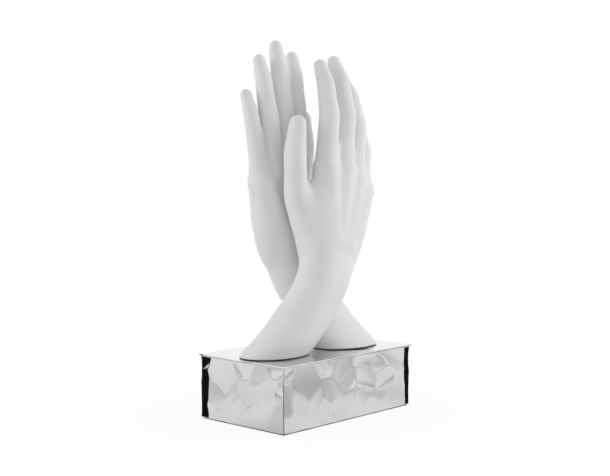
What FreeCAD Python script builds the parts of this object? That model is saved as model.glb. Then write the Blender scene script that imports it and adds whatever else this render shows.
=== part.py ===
import FreeCAD, Part
import math
import os

# A pair of white ceramic hands, a right and a left, crossed at the wrists on a metal-clad plinth.
# Millimetres. The origin is the middle of the underside, +X runs along the plinth's long side,
# +Y points to the back and +Z points up. Both palms face the back.

# Plinth
plinth_length = 150.0
plinth_width = 90.0
plinth_height = 50.0
top_plate_thickness = 0.8
panel_thickness = 1.5
panel_floor_gap = 1.0
base_board_thickness = 4.0
base_board_clearance = 0.3
felt_thickness = 1.5
felt_inset = 0.5

# Hammer marks on the side panels: shallow round dents of a large ball, side by side
dent_depth = 0.5
dent_pitch = 17.0
dent_ball_radius = 130.0
dent_row_share = 0.86
dent_wander_share = 0.22
dent_turn = 2.4

# Fastening of each hand: M6 stud, nuts and washers
stud_diameter = 6.0
stud_hole_diameter = 6.6
stud_reach = 22.0
stud_tail = 3.0
thread_fit = 0.05
nut_across_flats = 10.0
nut_height = 5.0
washer_diameter = 18.0
washer_thickness = 1.6
split_washer_diameter = 11.8
split_washer_thickness = 1.6
split_gap = 1.2
counterbore_diameter = 24.0
counterbore_depth = 16.0

# Gasket under each wrist, the wall of the ceramic, and the cast plug inside it
gasket_thickness = 0.6
gasket_lip = 0.2
ceramic_wall = 5.0
plug_clearance = 0.3
plug_cover = 6.0

# Screws of the base board
screw_diameter = 3.0
screw_head_diameter = 6.0
screw_head_height = 2.0
screw_length = 14.0
screw_inset = 14.0
screw_slot_width = 0.8
screw_slot_depth = 1.0

# Hands. The forearm is an ellipse in plan, longer along X because the arm leans.
hand_length = 166.0
palm_width = 67.0
palm_thickness = 25.0
finger_thickness = 18.4
thumb_thickness = 20.6
forearm_length_in_plan = 56.0
forearm_width_in_plan = 39.0
wrist_width = 52.0
wrist_thickness = 33.0
wrist_gap = 8.5
wrist_height = 68.0
wrist_height_difference = 6.0
foot_spacing = 89.5
wrist_overlap = 4.0

# Places in a hand's own frame: x to the little finger, y out of the palm, z to the fingertips.
# Shares of the hand's length.
knuckle_shares = {
    "index": (-0.128, 0.000, 0.462),
    "middle": (-0.022, -0.008, 0.474),
    "ring": (0.078, 0.002, 0.450),
    "little": (0.162, 0.020, 0.408),
}
bone_shares = {
    "index": (0.240, 0.150, 0.125),
    "middle": (0.262, 0.172, 0.132),
    "ring": (0.245, 0.162, 0.130),
    "little": (0.192, 0.124, 0.115),
}
thumb_root_share = (-0.085, 0.030, 0.085)
thumb_start_share = (-0.030, 0.000, -0.010)
thumb_bone_shares = (0.262, 0.205, 0.170)

# Radius at the knuckle, the two further joints and the tip, in shares of the finger's thickness
radius_shares = {
    "index": (0.510, 0.445, 0.385, 0.315),
    "middle": (0.520, 0.455, 0.392, 0.318),
    "ring": (0.505, 0.432, 0.372, 0.305),
    "little": (0.445, 0.378, 0.328, 0.278),
}
thumb_radius_shares = (0.600, 0.470, 0.425, 0.320)
bone_waist_share = 0.04
bone_step_shares = (0.0, 0.2, 0.5, 0.8)
tip_step_shares = (0.0, 0.25, 0.5)
cap_angles = (0.0, 25.0, 50.0, 70.0)
muscle_cap_angles = (0.0, 30.0, 60.0, 80.0)
finger_start_share = 0.70
start_radius_share = 0.42

# Forearm from foot to wrist: number of sections, and how far it bows away from the other arm, in shares
# of the wrist's thickness
arm_sections_count = 8
arm_bow_share = 0.17

# Palm above the wrist: height and middle in shares of the hand's length, half width in shares of the
# palm's width, depth to the back and to the palm side in shares of its thickness
palm_row_shares = (
    (0.055, 0.000, 0.352, 0.60, 0.63),
    (0.110, 0.000, 0.368, 0.53, 0.56),
    (0.205, 0.008, 0.430, 0.47, 0.50),
    (0.325, 0.016, 0.480, 0.43, 0.44),
    (0.420, 0.019, 0.500, 0.40, 0.41),
    (0.480, 0.020, 0.475, 0.34, 0.35),
    (0.515, 0.019, 0.420, 0.23, 0.24),
)
palm_tilt = 7.0
cavity_rows = 4

# Muscles of the palm and of the wrist's thumb side: the two ends of each, in shares of the hand's length,
# and the radius at each end, in shares of the palm's thickness
muscle_end_shares = {
    "thumb": ((-0.045, 0.030, 0.080), (-0.125, 0.038, 0.250)),
    "heel": ((0.098, 0.028, 0.060), (0.112, 0.024, 0.320)),
    "wrist": ((-0.130, 0.000, -0.220), (-0.085, 0.012, 0.100)),
}
muscle_radius_shares = {"thumb": (0.54, 0.50), "heel": (0.45, 0.42), "wrist": (0.30, 0.50)}

# Pose of each hand in degrees: turn about +Z, lean to its little finger, tilt of the tips to the back,
# and for each finger the sideways spread of its three bones and the bends at its three joints
right_pose = {
    "side": 1,
    "foot_shares": (-0.458, -0.028),
    "turn": -2.0,
    "lean": 11.0,
    "tilt": -1.0,
    "spreads": {"index": (-3, -7, -11), "middle": (-1, -5, -8), "ring": (1, -3, -6), "little": (2, -2, -4)},
    "bends": {"index": (2, 12, 8), "middle": (5, 14, 8), "ring": (7, 16, 9), "little": (9, 18, 10)},
    "thumb_leans": (36.0, 14.0, 6.0),
    "thumb_outs": (4.0, 0.0, -2.0),
}
left_pose = {
    "side": -1,
    "foot_shares": (0.400, -0.085),
    "turn": 9.0,
    "lean": 11.0,
    "tilt": -4.0,
    "spreads": {"index": (-3, -6, -9), "middle": (-1, -5, -8), "ring": (-1, -4, -6), "little": (0, -4, -6)},
    "bends": {"index": (0, 5, 4), "middle": (1, 6, 5), "ring": (2, 7, 5), "little": (3, 8, 6)},
    "thumb_leans": (34.0, 12.0, 4.0),
    "thumb_outs": (5.0, 0.0, -2.0),
}

# Worked out from the sizes above
core_length = plinth_length - 2 * panel_thickness
core_width = plinth_width - 2 * panel_thickness
core_bottom = felt_thickness + base_board_thickness
core_top = plinth_height - top_plate_thickness
foot_level = plinth_height + gasket_thickness
nut_level = core_bottom + counterbore_depth
stud_radius = stud_diameter / 2
stud_hole_radius = stud_hole_diameter / 2
anchor_level = foot_level + stud_reach - nut_height

X_AXIS = FreeCAD.Vector(1, 0, 0)
Y_AXIS = FreeCAD.Vector(0, 1, 0)
Z_AXIS = FreeCAD.Vector(0, 0, 1)


def at(x, y, z):
    return FreeCAD.Vector(x, y, z)


def block(length, width, height, bottom):
    """A plain block, centred on the origin in plan."""
    return Part.makeBox(length, width, height, at(-length / 2, -width / 2, bottom))


def cylinder(radius, height, x, y, bottom):
    return Part.makeCylinder(radius, height, at(x, y, bottom), Z_AXIS)


def hexagon(across_flats, height, x, y, bottom):
    corner = across_flats / math.sqrt(3)
    points = []
    for k in range(7):
        angle = math.radians(60 * k)
        points.append(at(x + corner * math.cos(angle), y + corner * math.sin(angle), bottom))
    return Part.Face(Part.makePolygon(points)).extrude(at(0, 0, height))


def section(middle, wide, thick, half_width, half_depth):
    """An ellipse round middle, half_width along the direction wide and half_depth along thick."""
    if half_width == half_depth:
        curve = Part.Circle(middle, wide.cross(thick), half_width)
        curve.XAxis = wide
    else:
        curve = Part.Ellipse(middle + wide * half_width, middle + thick * half_depth, middle)
    return Part.Wire([curve.toShape()])


def loft(sections):
    """A solid with straight lines from each section to the next."""
    return Part.makeLoft(sections, True, True)


class Hand:
    """Frame, joints and sections of one hand, standing on its foot on the gasket."""

    def __init__(self, pose):
        self.pose = pose
        self.side = pose["side"]
        foot_x_share, foot_y_share = pose["foot_shares"]
        self.foot = at(foot_x_share * foot_spacing, foot_y_share * foot_spacing, foot_level)
        depth = (wrist_thickness + wrist_gap) / 2
        rise = wrist_height - self.side * wrist_height_difference / 2
        self.wrist = at(self.side * wrist_overlap / 2, -self.side * depth, foot_level + rise)
        turn = FreeCAD.Rotation(Z_AXIS, pose["turn"])
        lean = FreeCAD.Rotation(Y_AXIS, self.side * pose["lean"])
        tilt = FreeCAD.Rotation(X_AXIS, -pose["tilt"])
        rotation = turn.multiply(lean).multiply(tilt)
        self.across = rotation.multVec(X_AXIS) * self.side
        self.palm = rotation.multVec(Y_AXIS)
        self.up = rotation.multVec(Z_AXIS)

    def put(self, x, y, z):
        """A point of the hand's own frame."""
        return self.wrist + self.across * x + self.palm * y + self.up * z

    def put_share(self, share):
        return self.put(*[value * hand_length for value in share])

    def turned(self, sideways, outwards):
        """A direction that starts along the fingers and turns sideways and then out of the palm."""
        s = math.radians(sideways)
        o = math.radians(outwards)
        x = self.across * (math.sin(s) * math.cos(o))
        z = self.up * (math.cos(s) * math.cos(o))
        return x + self.palm * math.sin(o) + z

    def finger_joints(self, name):
        points = [self.put_share(knuckle_shares[name])]
        bend = 0
        turns = zip(bone_shares[name], self.pose["spreads"][name], self.pose["bends"][name])
        for share, spread, angle in turns:
            bend += angle
            direction = self.turned(spread, bend)
            points.append(points[-1] + direction * (share * hand_length))
        return points

    def thumb_joints(self):
        points = [self.put_share(thumb_root_share)]
        for share, lean, out in zip(thumb_bone_shares, self.pose["thumb_leans"], self.pose["thumb_outs"]):
            points.append(points[-1] + self.turned(-lean, out) * (share * hand_length))
        return points

    def digit_section(self, middle, direction, radius):
        wide = self.across - direction * self.across.dot(direction)
        wide.normalize()
        return section(middle, wide, direction.cross(wide), radius, radius)

    def digit(self, start, joints, radii):
        """A rounded rod through the joints, a little thinner along each bone, with a round tip."""
        bones = [b - a for a, b in zip(joints, joints[1:])]
        directions = [FreeCAD.Vector(bone).normalize() for bone in bones]
        before = (joints[0] - start).normalize()
        wires = [self.digit_section(start, before, start_radius_share * finger_thickness)]
        for k, bone in enumerate(bones):
            last = k == len(bones) - 1
            for step in tip_step_shares if last else bone_step_shares:
                direction = directions[k] if step else (before + directions[k]).normalize()
                waist = 1 - bone_waist_share * math.sin(math.pi * step) ** 2
                radius = radii[k] + (radii[k + 1] - radii[k]) * step
                wires.append(self.digit_section(joints[k] + bone * step, direction, radius * waist))
            before = directions[k]
        for degrees in cap_angles:
            angle = math.radians(degrees)
            middle = joints[-1] - before * (radii[-1] * (1 - math.sin(angle)))
            wires.append(self.digit_section(middle, before, radii[-1] * math.cos(angle)))
        wires.append(Part.Vertex(joints[-1]))
        return loft(wires)

    def arm_middle(self, rise):
        straight = self.foot + (self.wrist - self.foot) * rise
        bow = arm_bow_share * wrist_thickness * math.sin(math.pi * rise)
        return straight - Y_AXIS * (self.side * bow)

    def arm_sections(self, inset):
        """Level ellipses from the foot to the wrist, shrunk by inset all round."""
        wires = []
        for k in range(arm_sections_count + 1):
            rise = k / arm_sections_count
            length = forearm_length_in_plan + (wrist_width - forearm_length_in_plan) * rise
            width = forearm_width_in_plan + (wrist_thickness - forearm_width_in_plan) * rise
            middle = self.arm_middle(rise)
            wires.append(section(middle, X_AXIS, Y_AXIS, length / 2 - inset, width / 2 - inset))
        return wires

    def palm_sections(self, inset, rows):
        """Sections of the palm, each tilted a little more to follow the line of the knuckles."""
        wires = []
        for k, (z, x, wide, back, front) in enumerate(palm_row_shares[:rows]):
            tilt = math.radians(palm_tilt * (k + 1) / len(palm_row_shares))
            across = self.across * math.cos(tilt) - self.up * math.sin(tilt)
            across = across * self.side
            forward = (front - back) / 2 * palm_thickness
            middle = self.put(x * hand_length, forward, z * hand_length)
            half_width = wide * palm_width - inset
            half_depth = (front + back) / 2 * palm_thickness - inset
            wires.append(section(middle, across, self.palm, half_width, half_depth))
        return wires

    def muscle(self, name):
        """A tapered rod with round ends."""
        ends = [self.put_share(share) for share in muscle_end_shares[name]]
        radii = [share * palm_thickness for share in muscle_radius_shares[name]]
        along = (ends[1] - ends[0]).normalize()
        wires = []
        for angle in reversed(muscle_cap_angles):
            wires.append(self.cap_section(ends[0], along, radii[0], -angle))
        for angle in muscle_cap_angles:
            wires.append(self.cap_section(ends[1], along, radii[1], angle))
        return loft(wires)

    def cap_section(self, middle, along, radius, degrees):
        """A circle on a ball round middle, degrees from its belt towards along."""
        angle = math.radians(degrees)
        middle = middle + along * (radius * math.sin(angle))
        return self.digit_section(middle, along, radius * math.cos(angle))

    def ceramic(self):
        """Forearm, palm, fingers and thumb in one piece, hollow up to the middle of the palm."""
        body = loft(self.arm_sections(0) + self.palm_sections(0, len(palm_row_shares)))
        digits = []
        for name in knuckle_shares:
            joints = self.finger_joints(name)
            start = self.wrist + (joints[0] - self.wrist) * finger_start_share
            radii = [share * finger_thickness for share in radius_shares[name]]
            digits.append(self.digit(start, joints, radii))
        radii = [share * thumb_thickness for share in thumb_radius_shares]
        digits.append(self.digit(self.put_share(thumb_start_share), self.thumb_joints(), radii))
        muscles = [self.muscle(name) for name in muscle_end_shares]
        return body.fuse(digits + muscles).cut(self.cavity(ceramic_wall))

    def cavity(self, inset):
        return loft(self.arm_sections(inset) + self.palm_sections(inset, cavity_rows))

    def stud_place(self):
        """The upright stud meets the middle of the leaning arm half way up its reach."""
        place = self.arm_middle(stud_reach / 2 / (self.wrist.z - self.foot.z))
        return place.x, place.y

    def stud_bore(self, radius, bottom, top):
        x, y = self.stud_place()
        return cylinder(radius, top - bottom, x, y, bottom)

    def gasket(self):
        length = forearm_length_in_plan / 2 + gasket_lip
        width = forearm_width_in_plan / 2 + gasket_lip
        outline = section(at(self.foot.x, self.foot.y, plinth_height), X_AXIS, Y_AXIS, length, width)
        sheet = Part.Face(outline).extrude(at(0, 0, gasket_thickness))
        return sheet.cut(self.stud_bore(stud_hole_radius, plinth_height, foot_level))

    def plug(self):
        """Cast filling that fits the foot of the hollow, with pockets for the stud and its top nut."""
        x, y = self.stud_place()
        height = stud_reach + plug_cover
        filling = self.cavity(ceramic_wall + plug_clearance)
        filling = filling.common(block(plinth_length * 2, plinth_width * 2, height, foot_level))
        nut_pocket = hexagon(nut_across_flats + 2 * thread_fit, nut_height, x, y, anchor_level)
        bore = self.stud_bore(stud_radius + thread_fit, foot_level, anchor_level)
        return filling.cut([bore, nut_pocket])

    def stud(self):
        bottom = nut_level - washer_thickness - split_washer_thickness - nut_height - stud_tail
        return self.stud_bore(stud_radius, bottom, foot_level + stud_reach)

    def nut(self, bottom):
        x, y = self.stud_place()
        body = hexagon(nut_across_flats, nut_height, x, y, bottom)
        return body.cut(self.stud_bore(stud_radius + thread_fit, bottom, bottom + nut_height))

    def washer(self):
        bottom = nut_level - washer_thickness
        disc = self.stud_bore(washer_diameter / 2, bottom, nut_level)
        return disc.cut(self.stud_bore(stud_hole_radius, bottom, nut_level))

    def split_washer(self):
        top = nut_level - washer_thickness
        bottom = top - split_washer_thickness
        x, y = self.stud_place()
        ring = self.stud_bore(split_washer_diameter / 2, bottom, top)
        ring = ring.cut(self.stud_bore(stud_hole_radius, bottom, top))
        gap = Part.makeBox(split_washer_diameter, split_gap, split_washer_thickness, at(x, y, bottom))
        return ring.cut(gap)

    def pieces(self):
        nut_bottom = nut_level - washer_thickness - split_washer_thickness - nut_height
        return {
            "hand": self.ceramic(),
            "wrist_plug": self.plug(),
            "anchor_nut": self.nut(anchor_level),
            "stud": self.stud(),
            "gasket": self.gasket(),
            "washer": self.washer(),
            "split_washer": self.split_washer(),
            "nut": self.nut(nut_bottom),
        }


def screw_places():
    for x_side in (-1, 1):
        for y_side in (-1, 1):
            yield x_side * (core_length / 2 - screw_inset), y_side * (core_width / 2 - screw_inset)


def screw_shape(x, y, fit):
    """A countersunk wood screw, its head down, made larger all round by fit to cut its hole."""
    head_radius = screw_head_diameter / 2 + fit
    radius = screw_diameter / 2 + fit
    tip = screw_diameter
    head = Part.makeCone(head_radius, radius, screw_head_height, at(x, y, felt_thickness), Z_AXIS)
    shank_length = screw_length - screw_head_height - tip
    shank = cylinder(radius, shank_length, x, y, felt_thickness + screw_head_height)
    point = Part.makeCone(radius, fit, tip, at(x, y, felt_thickness + screw_length - tip), Z_AXIS)
    return head.fuse([shank, point])


def base_board_screws():
    screws = []
    for x, y in screw_places():
        corner = at(x - screw_head_diameter / 2, y - screw_slot_width / 2, felt_thickness)
        slot = Part.makeBox(screw_head_diameter, screw_slot_width, screw_slot_depth, corner)
        screws.append(screw_shape(x, y, 0).cut(slot))
    return Part.makeCompound(screws)


def screw_holes():
    return [screw_shape(x, y, thread_fit) for x, y in screw_places()]


def plinth_core(hands):
    core = block(core_length, core_width, core_top - core_bottom, core_bottom)
    bores = [hand.stud_bore(stud_hole_radius, core_bottom, core_top) for hand in hands]
    bores += [hand.stud_bore(counterbore_diameter / 2, core_bottom, nut_level) for hand in hands]
    return core.cut(bores + screw_holes())


def top_plate(hands):
    plate = block(plinth_length, plinth_width, top_plate_thickness, core_top)
    return plate.cut([hand.stud_bore(stud_hole_radius, core_top, plinth_height) for hand in hands])


def base_board():
    length = core_length - 2 * base_board_clearance
    width = core_width - 2 * base_board_clearance
    return block(length, width, base_board_thickness, felt_thickness).cut(screw_holes())


def felt_pad():
    return block(core_length - 2 * felt_inset, core_width - 2 * felt_inset, felt_thickness, 0)


def dents(length, bottom, top):
    """Places of the dents, in wandering rows like a hammer's marks."""
    row_height = dent_pitch * dent_row_share
    wander = dent_wander_share * dent_pitch
    rows = math.ceil((top - bottom) / row_height)
    columns = math.ceil(length / dent_pitch)
    for row in range(rows):
        for column in range(columns + row % 2):
            turn = dent_turn * (column + 1) * (row + 2)
            x = (column - (columns - 1 + row % 2) / 2) * dent_pitch + wander * math.sin(turn)
            z = (row - (rows - 1) / 2) * row_height + wander * math.cos(turn + row)
            yield x, (bottom + top) / 2 + z


def dent_ball(x, face, z):
    """A large ball that bites dent_depth into the face of a panel."""
    return Part.makeSphere(dent_ball_radius, at(x, face - dent_ball_radius + dent_depth, z), Z_AXIS)


def side_panel(length, distance, angle):
    """A mitred panel whose hammered face stands at distance from the middle, turned by angle."""
    t = panel_thickness
    corners = (
        (-length / 2, -distance),
        (length / 2, -distance),
        (length / 2 - t, -distance + t),
        (-length / 2 + t, -distance + t),
        (-length / 2, -distance),
    )
    outline = Part.makePolygon([at(x, y, panel_floor_gap) for x, y in corners])
    panel = Part.Face(outline).extrude(at(0, 0, core_top - panel_floor_gap))
    for x, z in dents(length, panel_floor_gap, core_top):
        panel = panel.cut(dent_ball(x, -distance, z))
    panel.rotate(at(0, 0, 0), Z_AXIS, angle)
    return panel


def panels():
    return {
        "front_panel": side_panel(plinth_length, plinth_width / 2, 0),
        "right_panel": side_panel(plinth_width, plinth_length / 2, 90),
        "back_panel": side_panel(plinth_length, plinth_width / 2, 180),
        "left_panel": side_panel(plinth_width, plinth_length / 2, 270),
    }


def main():
    os.makedirs("parts", exist_ok=True)
    hands = {"right": Hand(right_pose), "left": Hand(left_pose)}
    nodes = {
        "plinth_core": plinth_core(hands.values()),
        "top_plate": top_plate(hands.values()),
        "base_board": base_board(),
        "base_board_screws": base_board_screws(),
        "felt_pad": felt_pad(),
    }
    nodes.update(panels())
    for name, hand in hands.items():
        for piece, shape in hand.pieces().items():
            nodes[name + "_" + piece] = shape
    for name, shape in nodes.items():
        shape.exportStep("parts/" + name + ".step")
        print(name, shape.isValid(), len(shape.Solids), "solids", round(shape.Volume), "mm3")


main()
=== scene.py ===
import math

import bpy
import numpy as np
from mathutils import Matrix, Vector


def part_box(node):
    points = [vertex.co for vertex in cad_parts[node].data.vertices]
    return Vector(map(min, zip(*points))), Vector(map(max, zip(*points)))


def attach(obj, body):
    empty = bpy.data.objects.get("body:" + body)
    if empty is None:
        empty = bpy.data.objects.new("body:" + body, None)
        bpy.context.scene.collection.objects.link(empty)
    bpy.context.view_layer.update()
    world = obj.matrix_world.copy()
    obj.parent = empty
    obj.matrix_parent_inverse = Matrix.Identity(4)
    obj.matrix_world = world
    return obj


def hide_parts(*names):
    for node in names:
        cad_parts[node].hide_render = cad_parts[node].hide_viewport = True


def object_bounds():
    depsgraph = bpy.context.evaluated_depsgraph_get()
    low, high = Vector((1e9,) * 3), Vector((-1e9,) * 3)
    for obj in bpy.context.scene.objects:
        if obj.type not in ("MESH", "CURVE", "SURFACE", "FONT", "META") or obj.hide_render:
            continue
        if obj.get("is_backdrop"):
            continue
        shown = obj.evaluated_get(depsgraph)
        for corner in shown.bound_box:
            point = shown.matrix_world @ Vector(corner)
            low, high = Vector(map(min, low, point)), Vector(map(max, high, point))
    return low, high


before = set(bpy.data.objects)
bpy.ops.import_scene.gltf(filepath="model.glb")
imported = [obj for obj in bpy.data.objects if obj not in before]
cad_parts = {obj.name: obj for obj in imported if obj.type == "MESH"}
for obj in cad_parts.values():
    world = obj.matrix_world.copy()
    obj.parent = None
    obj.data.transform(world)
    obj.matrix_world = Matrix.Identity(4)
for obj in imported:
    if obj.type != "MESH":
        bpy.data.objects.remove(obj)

# A pair of matt white ceramic hands crossed at the wrists on a plinth clad in hammered mirror metal.
# Shapes are worked out in millimetres in the part's own frame, and scaled to metres in the mesh.

MM = 0.001
CAD_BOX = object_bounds()
BODY = "root"
TINY = 1e-6

# Sizes of hand and arm, in millimetres

HAND_LENGTH = 166.0
PALM_WIDTH = 67.0
PALM_THICKNESS = 25.0
FINGER_THICKNESS = 18.4
THUMB_THICKNESS = 20.6
FOREARM_IN_PLAN = (56.0, 39.0)
WRIST_IN_PLAN = (52.0, 33.0)
ARM_TAPER_POWER = 1.5
ARM_BOW = 0.17
WRIST_GAP = 8.5
WRIST_HEIGHT = 68.0
WRIST_HEIGHT_DIFFERENCE = 6.0
WRIST_OVERLAP = 4.0
FOOT_SPACING = 89.5
FOOT_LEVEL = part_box("right_hand")[0][2] / MM
FOOT_BLEND = (6.0, 40.0)
FOOT_FLARE = 3.2
CERAMIC_WALL = 5.0

# Bones. Places and lengths are in hand lengths from the wrist: across the palm to the little finger, out
# of the palm, and up to the fingertips. Radii are in thicknesses of a finger or the thumb.

KNUCKLES = {
    "index": (-0.128, 0.000, 0.462),
    "middle": (-0.022, -0.008, 0.474),
    "ring": (0.078, 0.002, 0.450),
    "little": (0.162, 0.020, 0.408),
}
BONES = {
    "index": (0.240, 0.150, 0.125),
    "middle": (0.262, 0.172, 0.132),
    "ring": (0.245, 0.162, 0.130),
    "little": (0.192, 0.124, 0.115),
}
RADII = {
    "index": (0.510, 0.445, 0.385, 0.315),
    "middle": (0.520, 0.455, 0.392, 0.318),
    "ring": (0.505, 0.432, 0.372, 0.305),
    "little": (0.445, 0.378, 0.328, 0.278),
}
THUMB_ROOT = (-0.085, 0.030, 0.085)
THUMB_BONES = (0.262, 0.205, 0.170)
THUMB_RADII = (0.600, 0.470, 0.425, 0.320)

# Poses: the foot in foot spacings, everything else in degrees

RIGHT_POSE = {
    "side": 1, "foot": (-0.458, -0.028), "turn": -2.0, "lean": 11.0, "tilt": -1.0,
    "spreads": {"index": (-3, -7, -11), "middle": (-1, -5, -8), "ring": (1, -3, -6), "little": (2, -2, -4)},
    "bends": {"index": (2, 12, 8), "middle": (5, 14, 8), "ring": (7, 16, 9), "little": (9, 18, 10)},
    "thumb_leans": (36.0, 14.0, 6.0), "thumb_outs": (4.0, 0.0, -2.0),
}
LEFT_POSE = {
    "side": -1, "foot": (0.400, -0.085), "turn": 9.0, "lean": 11.0, "tilt": -4.0,
    "spreads": {"index": (-3, -6, -9), "middle": (-1, -5, -8), "ring": (-1, -4, -6), "little": (0, -4, -6)},
    "bends": {"index": (0, 5, 4), "middle": (1, 6, 5), "ring": (2, 7, 5), "little": (3, 8, 6)},
    "thumb_leans": (34.0, 12.0, 4.0), "thumb_outs": (5.0, 0.0, -2.0),
}

# Sweep of the forearm and palm

PALM_ROWS = (
    # height, middle, half width, depth to the hand's back, depth to the palm
    (0.055, 0.000, 0.348, 0.60, 0.63),
    (0.110, -0.002, 0.356, 0.53, 0.55),
    (0.205, 0.008, 0.415, 0.46, 0.47),
    (0.325, 0.016, 0.468, 0.41, 0.40),
    (0.400, 0.020, 0.462, 0.38, 0.36),
)
ARM_ROWS = 9
LOWEST_RISE = -0.3
TRUNK_START = -24.0
TRUNK_SPACING = 1.5
TRUNK_PATH_EASING = 48
TRUNK_SIZE_EASING = 40
PALM_CAP = 14.0
PALM_SQUARENESS = 2.15

# Digits. Lengths are in millimetres, unless they are shares of the tip's radius.

DIGIT_SPACING = 1.0
DIGIT_PATH_EASING = 16
DIGIT_SIZE_EASING = 12
DIGIT_FLATNESS = 0.97
TIP_SETBACK = 1.09
TIP_FLATTENING = 0.11
TIP_FLAT_SPAN = (4, 2)
PALM_SIDE = (-0.2, 0.9)
BACK_SIDE = (0.1, 0.9)
WAIST_DEPTH = 0.040
SECOND_WAIST = 0.8
WAIST_LOST_TO_PALM = 0.8
TIP_PAD = 0.045
TIP_PAD_SETBACK = 3.5
TIP_PAD_WIDTH = 9
PALM_FOLDS = ((1, -1.3, 0.16), (1, 1.5, 0.16), (2, 0.0, 0.20))    # joint, place beyond it, depth
PALM_FOLD_WIDTH = 1.2
BACK_SWELLINGS = ((1, 0.30, 6.5), (2, 0.20, 5.0))    # joint, height, width
BACK_LINES = (-2.4, 0.0, 2.4)
BACK_LINE_DEPTH = 0.10
BACK_LINE_WIDTH = 1.0
NAIL_SIZE = (0.95, 0.70)
NAIL_SETBACK = 0.25
NAIL_CORNER = 0.5
NAIL_SIDE = (0.0, 0.5)
NAIL_GROOVE = (0.30, 0.9)       # depth, width
NAIL_BED = (0.06, 2)            # depth, slope

# Forms in the palm. Places are in hand lengths. Each ends with its reach and the softness of its blend,
# in millimetres.

METACARPAL_FEET = {"index": -0.078, "middle": -0.026, "ring": 0.026, "little": 0.074}
# Share of the foot's place across, out and up; share of the knuckle's place across, out and up from it
METACARPAL = ((1.0, -0.004, 0.10), (0.92, 0.004, -0.01), 22, 7)
TENDON = ((0.6, -0.060, 0.12), (1.0, -0.030, -0.01), 15, 6)
METACARPAL_RADII = (1.04, 0.97)
TENDON_RADII = (3.0, 3.6)
# Two ends and two radii
OUTER_PALM = ((0.112, 0.024, 0.220), (0.148, 0.022, 0.395), (9.0, 7.4), 20, 9)
WRIST_MUSCLE = ((-0.108, -0.010, -0.200), (-0.085, 0.012, 0.100), (3.0, 11.5), 23, 12)
# Middle and half sizes
PALM_HEEL = ((0.104, 0.026, 0.190), (12.0, 11.5, 33.0), 44, 9)
THUMB_MOUND = ((-0.088, 0.034, 0.170), (14.5, 13.5, 27.0), 40, 9)
THUMB_MOUND_TURN = 26
KNUCKLE_PAD = ((0, 0.026, -0.020), (9.5, 6.5, 9.0), 20, 6)
PALM_HOLLOW = ((0.012, 0.155, 0.275), (14.0, 17.0, 30.0), 44, 9)
# Shares of the two first bones and radii
FINGER_WEB = (0.30, 0.34, (4.8, 4.6), 16, 6)
# Share of the thumb's first bone, place in the palm and radii
THUMB_WEBS = (
    (0.88, (-0.128, 0.008, 0.350), (5.2, 5.2), 17, 9),
    (0.55, (-0.120, 0.000, 0.270), (8.0, 8.0), 19, 9),
)

# Putting a hand together

STEP = 0.95
FAR = 30.0
FIELD_MARGIN = np.array([34, 26, 8])
STEPS_BELOW_FOOT = 3.5
TRUNK_REACH = 46
TRUNK_BLEND = 0.01
KNUCKLE_TUCK = 11.0
FINGER_REACH = 8
FINGER_SIDE_BLEND = 1.0
FINGER_ROOT_BLEND = 4.0
THUMB_FACING = (0.80, 0.60, 0.0)
THUMB_REACH = 30
THUMB_BLEND = 7.0
HOLLOW_TOP = 0.10
HOLLOW_REACH = 40
HOLLOW_BLEND = 8.0
FOOT_SLAB = np.array([400, 400, 20])


def unit(v):
    """v over its own length."""
    v = np.asarray(v, float)
    return v / np.linalg.norm(v)


def turn_matrix(axis, degrees):
    """A turn about a unit axis: what lies along it stays, and the rest is taken times the cosine, plus
    the axis's cross product with it times the sine."""
    a = math.radians(degrees)
    x, y, z = axis
    cross = np.array([[0, -z, y], [z, 0, -x], [-y, x, 0]])
    outer = np.outer(axis, axis)
    return outer + math.cos(a) * (np.eye(3) - outer) + math.sin(a) * cross


class Skeleton:
    """Foot, wrist and joints of one hand, on three axes that the pose turns, leans and tilts. The first is
    mirrored for the left hand."""

    def __init__(self, pose):
        self.pose = pose
        self.side = pose["side"]
        self.foot = np.append(np.array(pose["foot"]) * FOOT_SPACING, FOOT_LEVEL)
        depth = (WRIST_IN_PLAN[1] + WRIST_GAP) / 2
        rise = WRIST_HEIGHT - self.side * WRIST_HEIGHT_DIFFERENCE / 2
        self.wrist = np.array([self.side * WRIST_OVERLAP / 2, -self.side * depth, FOOT_LEVEL + rise])
        turn = turn_matrix((0, 0, 1), pose["turn"])
        lean = turn_matrix((0, 1, 0), self.side * pose["lean"])
        tilt = turn_matrix((1, 0, 0), -pose["tilt"])
        self.axes = turn @ lean @ tilt @ np.diag([self.side, 1, 1])

    def put(self, share):
        """The wrist plus the three axes times the place, given in hand lengths."""
        return self.wrist + self.axes @ (np.asarray(share, float) * HAND_LENGTH)

    def direction(self, sideways, outwards):
        """The hand's upright axis leaned by two angles: sideways and out of the palm."""
        s, o = math.radians(sideways), math.radians(outwards)
        return self.axes @ np.array([math.sin(s) * math.cos(o), math.sin(o), math.cos(s) * math.cos(o)])

    def chain(self, root, bones, sideways, outwards):
        """Joints of a digit: each is the last one plus a bone's length along the bone's direction."""
        joints = [self.put(root)]
        for share, across, out in zip(bones, sideways, outwards):
            joints.append(joints[-1] + self.direction(across, out) * share * HAND_LENGTH)
        return joints

    def finger(self, name):
        """Joints and radii of a finger. Its bends add up from the knuckle on."""
        bends = np.cumsum(self.pose["bends"][name])
        joints = self.chain(KNUCKLES[name], BONES[name], self.pose["spreads"][name], bends)
        return joints, [share * FINGER_THICKNESS for share in RADII[name]]

    def thumb(self):
        """Joints and radii of the thumb, which leans away from the fingers."""
        leans = [-lean for lean in self.pose["thumb_leans"]]
        joints = self.chain(THUMB_ROOT, THUMB_BONES, leans, self.pose["thumb_outs"])
        return joints, [share * THUMB_THICKNESS for share in THUMB_RADII]


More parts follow.
